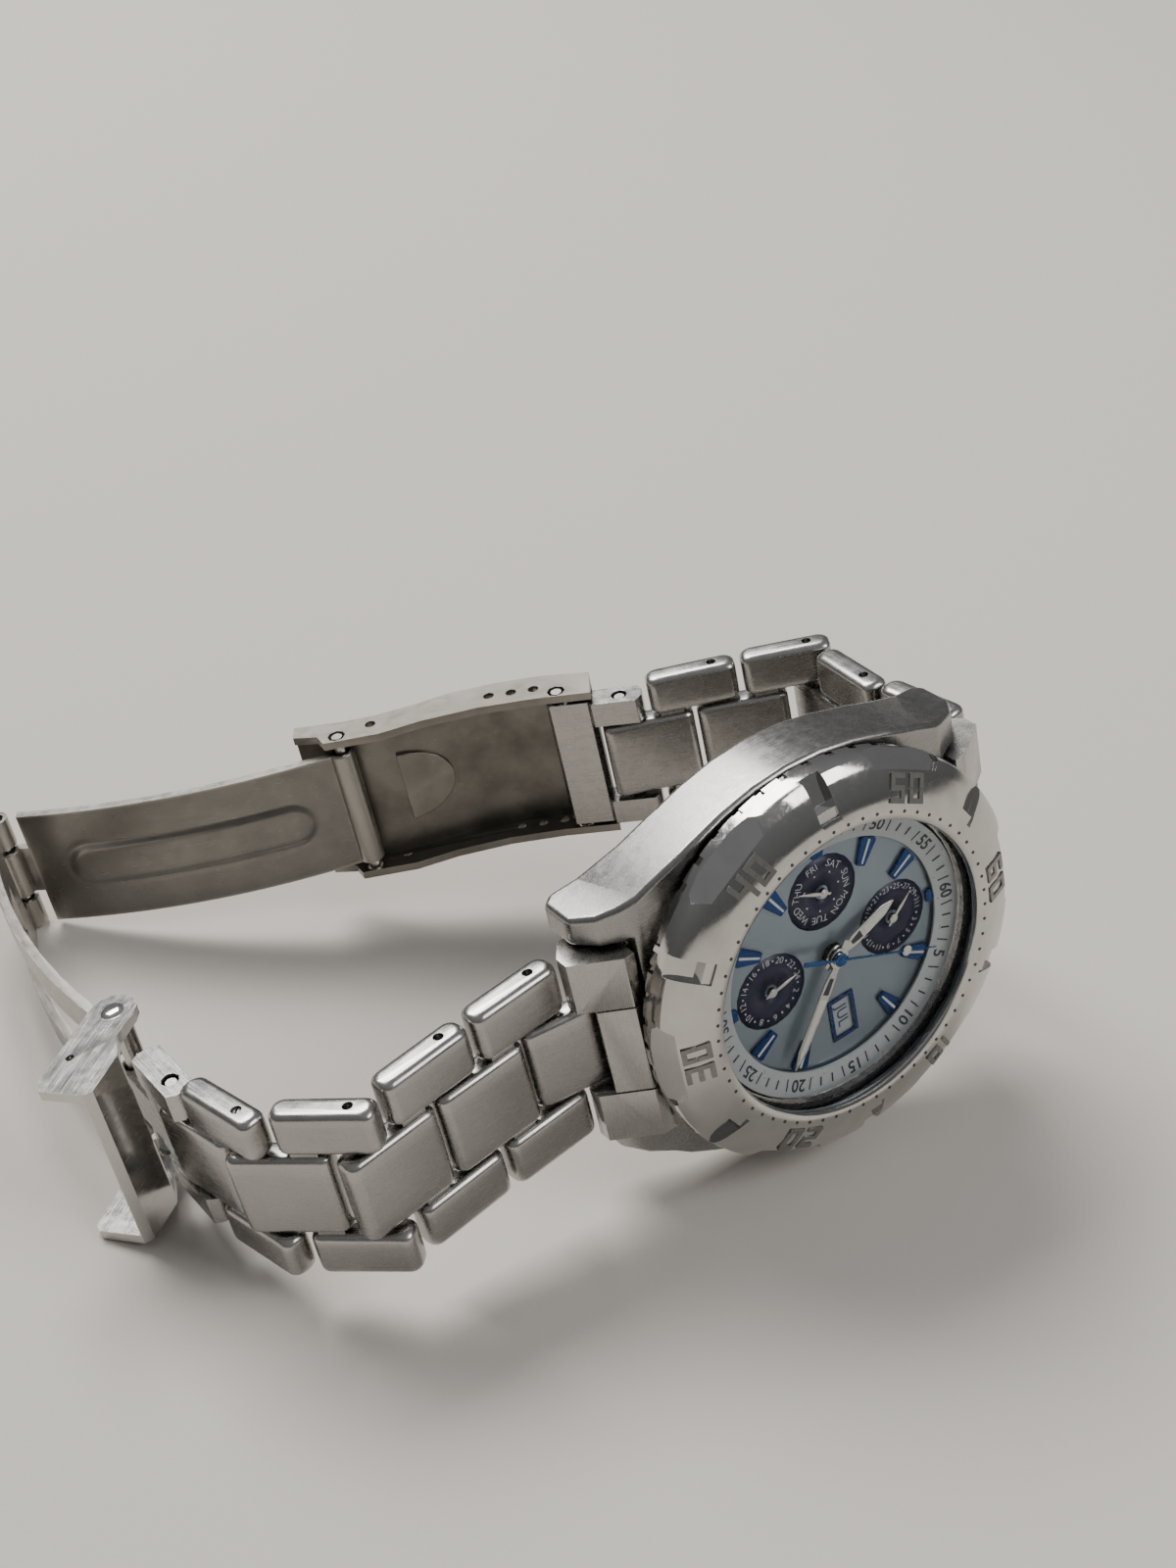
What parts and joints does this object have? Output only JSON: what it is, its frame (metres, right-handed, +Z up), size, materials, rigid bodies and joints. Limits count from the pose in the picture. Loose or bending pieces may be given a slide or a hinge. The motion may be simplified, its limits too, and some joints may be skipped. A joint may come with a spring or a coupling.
{
  "type": "wristwatch",
  "caption": "Steel wristwatch with a turning bezel, small day, date and 24-hour dials, and a jointed bracelet with an open folding clasp, lying on its crown side.",
  "frame": {"origin": "centre of the bounding box's base, on the surface the watch lies on", "axes": "+Z up; the camera looks along +Y, with the watch head at +X and the folding clasp at -X; the 6-to-12 line of the dial runs mostly along +X and +Y"},
  "size_m": [0.1054, 0.067, 0.0445],
  "materials": {
    "case_body": "brushed flanks with polished edges",
    "case_back": "brushed",
    "back_gasket": "matte",
    "bezel_spring": "drawn wire",
    "crystal": "clear mineral glass",
    "crystal_gasket": "white seal",
    "dial": "silver-blue metallic paint",
    "chapter_ring": "pale silver print ground",
    "movement_holder": "moulded",
    "movement_plate": "plated",
    "battery": "stamped",
    "drive_coil": "enamelled wire",
    "end_link_6": "brushed, polished edges",
    "end_link_12": "brushed, polished edges",
    "spring_bar_6": "drawn wire",
    "spring_bar_12": "drawn wire",
    "bezel": "polished steel with dark numerals",
    "crown_stem": "turned",
    "crown": "polished, fluted",
    "second_hand": "blue lacquer",
    "minute_hand": "polished",
    "hour_hand": "polished",
    "hour24_hand": "polished",
    "day_hand": "polished",
    "date_hand": "polished",
    "centre_wheel": "plated",
    "rotor": "ground",
    "half_link_6": "brushed, polished edges",
    "link_6_1": "brushed, polished edges",
    "pin_6_1": "drawn wire",
    "link_6_2": "brushed, polished edges",
    "pin_6_2": "drawn wire",
    "link_6_3": "brushed, polished edges",
    "pin_6_3": "drawn wire",
    "link_6_4": "brushed, polished edges",
    "pin_6_4": "drawn wire",
    "clasp_end_link_6": "brushed, polished edges",
    "pin_6_5": "drawn wire",
    "catch_pin": "drawn wire",
    "half_link_12": "brushed, polished edges",
    "link_12_1": "brushed, polished edges",
    "pin_12_1": "drawn wire",
    "link_12_2": "brushed, polished edges",
    "pin_12_2": "drawn wire",
    "link_12_3": "brushed, polished edges",
    "pin_12_3": "drawn wire",
    "link_12_4": "brushed, polished edges",
    "pin_12_4": "drawn wire",
    "clasp_end_link_12": "brushed, polished edges",
    "pin_12_5": "drawn wire",
    "adjust_spring_bar": "drawn wire",
    "clasp_cover": "pressed, worn",
    "cover_hinge_pin": "drawn wire",
    "clasp_blade_outer": "pressed, stained",
    "blade_fold_pin": "drawn wire",
    "clasp_blade_inner": "pressed, stained",
    "safety_catch": "pressed, worn"
  },
  "bodies": {
    "head": {"case_body": "case_body", "case_back": "case_back", "back_gasket": "back_gasket", "bezel_spring": "bezel_spring", "crystal": "crystal", "crystal_gasket": "crystal_gasket", "dial": "dial", "chapter_ring": "chapter_ring", "movement_holder": "movement_holder", "movement_plate": "movement_plate", "battery": "battery", "drive_coil": "drive_coil", "end_link_6": "end_link_6", "end_link_12": "end_link_12", "spring_bar_6": "spring_bar_6", "spring_bar_12": "spring_bar_12"},
    "bezel": {"bezel": "bezel"},
    "stem": {"crown_stem": "crown_stem"},
    "crown": {"crown": "crown"},
    "second_hand": {"second_hand": "second_hand"},
    "minute_hand": {"minute_hand": "minute_hand"},
    "hour_hand": {"hour_hand": "hour_hand"},
    "hour24_hand": {"hour24_hand": "hour24_hand"},
    "day_hand": {"day_hand": "day_hand"},
    "date_hand": {"date_hand": "date_hand"},
    "centre_wheel": {"centre_wheel": "centre_wheel"},
    "rotor": {"rotor": "rotor"},
    "half_link_6": {"half_link_6": "half_link_6"},
    "link_6_1": {"link_6_1": "link_6_1", "pin_6_1": "pin_6_1"},
    "link_6_2": {"link_6_2": "link_6_2", "pin_6_2": "pin_6_2"},
    "link_6_3": {"link_6_3": "link_6_3", "pin_6_3": "pin_6_3"},
    "link_6_4": {"link_6_4": "link_6_4", "pin_6_4": "pin_6_4"},
    "clasp_end_link_6": {"clasp_end_link_6": "clasp_end_link_6", "pin_6_5": "pin_6_5", "catch_pin": "catch_pin"},
    "half_link_12": {"half_link_12": "half_link_12"},
    "link_12_1": {"link_12_1": "link_12_1", "pin_12_1": "pin_12_1"},
    "link_12_2": {"link_12_2": "link_12_2", "pin_12_2": "pin_12_2"},
    "link_12_3": {"link_12_3": "link_12_3", "pin_12_3": "pin_12_3"},
    "link_12_4": {"link_12_4": "link_12_4", "pin_12_4": "pin_12_4"},
    "clasp_end_link_12": {"clasp_end_link_12": "clasp_end_link_12", "pin_12_5": "pin_12_5", "adjust_spring_bar": "adjust_spring_bar"},
    "cover": {"clasp_cover": "clasp_cover", "cover_hinge_pin": "cover_hinge_pin"},
    "outer_blade": {"clasp_blade_outer": "clasp_blade_outer", "blade_fold_pin": "blade_fold_pin"},
    "inner_blade": {"clasp_blade_inner": "clasp_blade_inner"},
    "catch": {"safety_catch": "safety_catch"}
  },
  "joints": [
    {"name": "bezel_turn", "type": "hinge", "parent": "head", "child": "bezel", "pos_m": [0.03451, -0.00973, 0.02403], "axis": [0.5556, -0.826, 0.0947], "continuous": true},
    {"name": "crown_pull", "type": "slide", "parent": "head", "child": "stem", "axis": [0.2072, 0.0273, -0.9779], "range_m": [0, 0.0015]},
    {"name": "crown_turn", "type": "hinge", "parent": "stem", "child": "crown", "pos_m": [0.03564, -0.00436, 0.00295], "axis": [0.2072, 0.0273, -0.9779], "continuous": true},
    {"name": "second_turn", "type": "hinge", "parent": "head", "child": "second_hand", "pos_m": [0.03451, -0.00973, 0.02403], "axis": [-0.5556, 0.826, -0.0947], "continuous": true},
    {"name": "minute_turn", "type": "hinge", "parent": "head", "child": "minute_hand", "pos_m": [0.03451, -0.00973, 0.02403], "axis": [-0.5556, 0.826, -0.0947], "continuous": true},
    {"name": "hour_turn", "type": "hinge", "parent": "head", "child": "hour_hand", "pos_m": [0.03451, -0.00973, 0.02403], "axis": [-0.5556, 0.826, -0.0947], "continuous": true},
    {"name": "hour24_turn", "type": "hinge", "parent": "head", "child": "hour24_hand", "pos_m": [0.02872, -0.01378, 0.02269], "axis": [-0.5556, 0.826, -0.0947], "continuous": true},
    {"name": "day_turn", "type": "hinge", "parent": "head", "child": "day_hand", "pos_m": [0.03302, -0.00992, 0.03107], "axis": [-0.5556, 0.826, -0.0947], "continuous": true},
    {"name": "date_turn", "type": "hinge", "parent": "head", "child": "date_hand", "pos_m": [0.04031, -0.00567, 0.02538], "axis": [-0.5556, 0.826, -0.0947], "continuous": true},
    {"name": "centre_wheel_turn", "type": "hinge", "parent": "head", "child": "centre_wheel", "pos_m": [0.03257, -0.00684, 0.0237], "axis": [-0.5556, 0.826, -0.0947], "continuous": true},
    {"name": "rotor_turn", "type": "hinge", "parent": "head", "child": "rotor", "pos_m": [0.03283, -0.00451, 0.0182], "axis": [-0.5556, 0.826, -0.0947], "continuous": true},
    {"name": "hinge_6_0", "type": "hinge", "parent": "head", "child": "half_link_6", "pos_m": [0.01354, -0.01516, 0.01944], "axis": [-0.2072, -0.0273, 0.9779], "range_deg": [0, 8]},
    {"name": "hinge_6_1", "type": "hinge", "parent": "half_link_6", "child": "link_6_1", "pos_m": [0.00847, -0.01773, 0.01829], "axis": [-0.2072, -0.0273, 0.9779], "range_deg": [0, 3]},
    {"name": "hinge_6_2", "type": "hinge", "parent": "link_6_1", "child": "link_6_2", "pos_m": [0.00097, -0.02425, 0.01652], "axis": [-0.2072, -0.0273, 0.9779], "range_deg": [0, 6]},
    {"name": "hinge_6_3", "type": "hinge", "parent": "link_6_2", "child": "link_6_3", "pos_m": [-0.0063, -0.03105, 0.01479], "axis": [-0.2072, -0.0273, 0.9779], "range_deg": [0, 50]},
    {"name": "hinge_6_4", "type": "hinge", "parent": "link_6_3", "child": "link_6_4", "pos_m": [-0.01602, -0.02917, 0.01278], "axis": [-0.2072, -0.0273, 0.9779], "range_deg": [0, 33]},
    {"name": "hinge_6_5", "type": "hinge", "parent": "link_6_4", "child": "clasp_end_link_6", "pos_m": [-0.0232, -0.02219, 0.01146], "axis": [-0.2072, -0.0273, 0.9779], "range_deg": [0, 11]},
    {"name": "hinge_12_0", "type": "hinge", "parent": "head", "child": "half_link_12", "pos_m": [0.04704, 0.00826, 0.02719], "axis": [0.2072, 0.0273, -0.9779], "range_deg": [0, 45]},
    {"name": "hinge_12_1", "type": "hinge", "parent": "half_link_12", "child": "link_12_1", "pos_m": [0.04767, 0.01402, 0.02748], "axis": [0.2072, 0.0273, -0.9779], "range_deg": [0, 45]},
    {"name": "hinge_12_2", "type": "hinge", "parent": "link_12_1", "child": "link_12_2", "pos_m": [0.04124, 0.02172, 0.02634], "axis": [0.2072, 0.0273, -0.9779], "range_deg": [0, 4]},
    {"name": "hinge_12_3", "type": "hinge", "parent": "link_12_2", "child": "link_12_3", "pos_m": [0.03621, 0.03044, 0.02551], "axis": [0.2072, 0.0273, -0.9779], "range_deg": [0, 55]},
    {"name": "hinge_12_4", "type": "hinge", "parent": "link_12_3", "child": "link_12_4", "pos_m": [0.02635, 0.02986, 0.02341], "axis": [0.2072, 0.0273, -0.9779], "range_deg": [0, 5]},
    {"name": "hinge_12_5", "type": "hinge", "parent": "link_12_4", "child": "clasp_end_link_12", "pos_m": [0.01651, 0.02893, 0.0213], "axis": [0.2072, 0.0273, -0.9779], "range_deg": [0, 2]},
    {"name": "cover_turn", "type": "hinge", "parent": "clasp_end_link_12", "child": "cover", "pos_m": [0.01018, 0.02958, 0.01997], "axis": [0.2072, 0.0273, -0.9779], "range_deg": [0, 8]},
    {"name": "blade_a_turn", "type": "hinge", "parent": "cover", "child": "outer_blade", "pos_m": [-0.01285, 0.02793, 0.01505], "axis": [0.2072, 0.0273, -0.9779], "range_deg": [-100, 0]},
    {"name": "blade_b_turn", "type": "hinge", "parent": "outer_blade", "child": "inner_blade", "pos_m": [-0.04996, 0.02581, 0.00713], "axis": [-0.2072, -0.0273, 0.9779], "range_deg": [0, 62]},
    {"name": "catch_turn", "type": "hinge", "parent": "clasp_end_link_6", "child": "catch", "pos_m": [-0.02958, -0.01305, 0.01036], "axis": [0.2072, 0.0273, -0.9779], "range_deg": [0, 120]}
  ],
  "couplings": [
    {"joint": "minute_turn", "follows": "second_turn", "ratio": 0.016667},
    {"joint": "hour_turn", "follows": "second_turn", "ratio": 0.0013889},
    {"joint": "hour24_turn", "follows": "second_turn", "ratio": 0.00069444},
    {"joint": "day_turn", "follows": "second_turn", "ratio": 0.000099206},
    {"joint": "date_turn", "follows": "second_turn", "ratio": 0.000022401},
    {"joint": "centre_wheel_turn", "follows": "second_turn", "ratio": 0.016667},
    {"joint": "rotor_turn", "follows": "second_turn", "ratio": -30}
  ]
}
